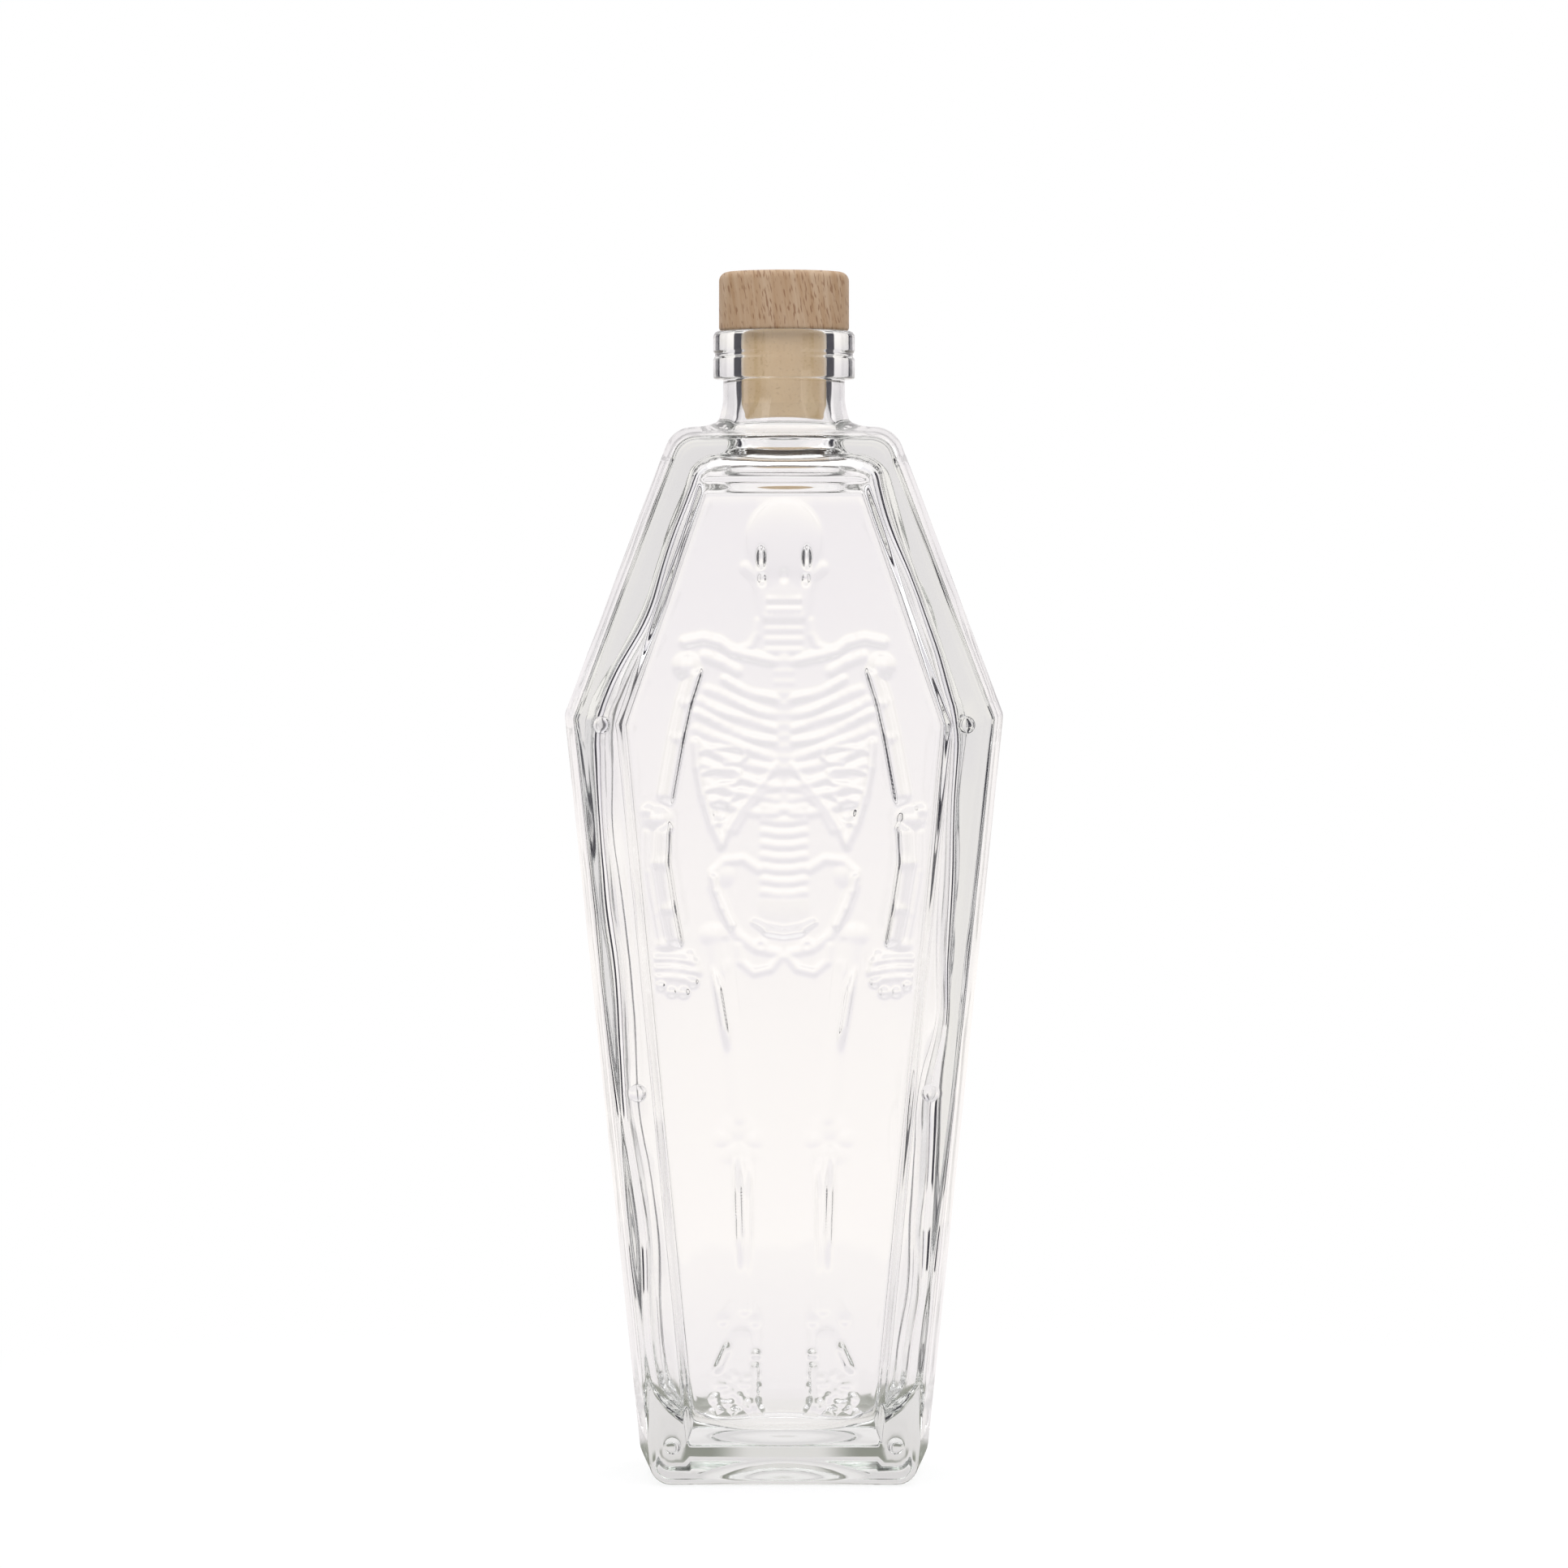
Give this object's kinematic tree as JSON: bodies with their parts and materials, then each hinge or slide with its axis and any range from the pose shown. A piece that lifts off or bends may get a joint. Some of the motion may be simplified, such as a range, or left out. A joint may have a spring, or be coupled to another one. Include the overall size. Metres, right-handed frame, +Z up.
{
  "type": "coffin-shaped glass bottle with stopper",
  "caption": "Clear glass bottle in the form of a coffin with a skeleton in relief, closed by a cork stopper with a turned wooden head.",
  "frame": {"origin": "middle of the foot, at the height of the surface the bottle stands on", "axes": "+Z up through the neck and stopper, +X to the right seen from the skeleton side, +Y towards the plain rear face"},
  "size_m": [0.0956, 0.0509, 0.2618],
  "materials": {
    "flint_glass": "clear moulded glass, faint green tint in thick places",
    "beech": "turned beech, fine sanded, unvarnished",
    "pressed_cork": "smooth synthetic cork, matt"
  },
  "bodies": {
    "bottle": {"bottle": "flint_glass"},
    "stopper": {"stopper_head": "beech", "stopper_shank": "pressed_cork"}
  },
  "joints": [
    {"name": "stopper_pull", "type": "slide", "parent": "bottle", "child": "stopper", "axis": [0, 0, 1], "range_m": [0, 0.045]}
  ]
}
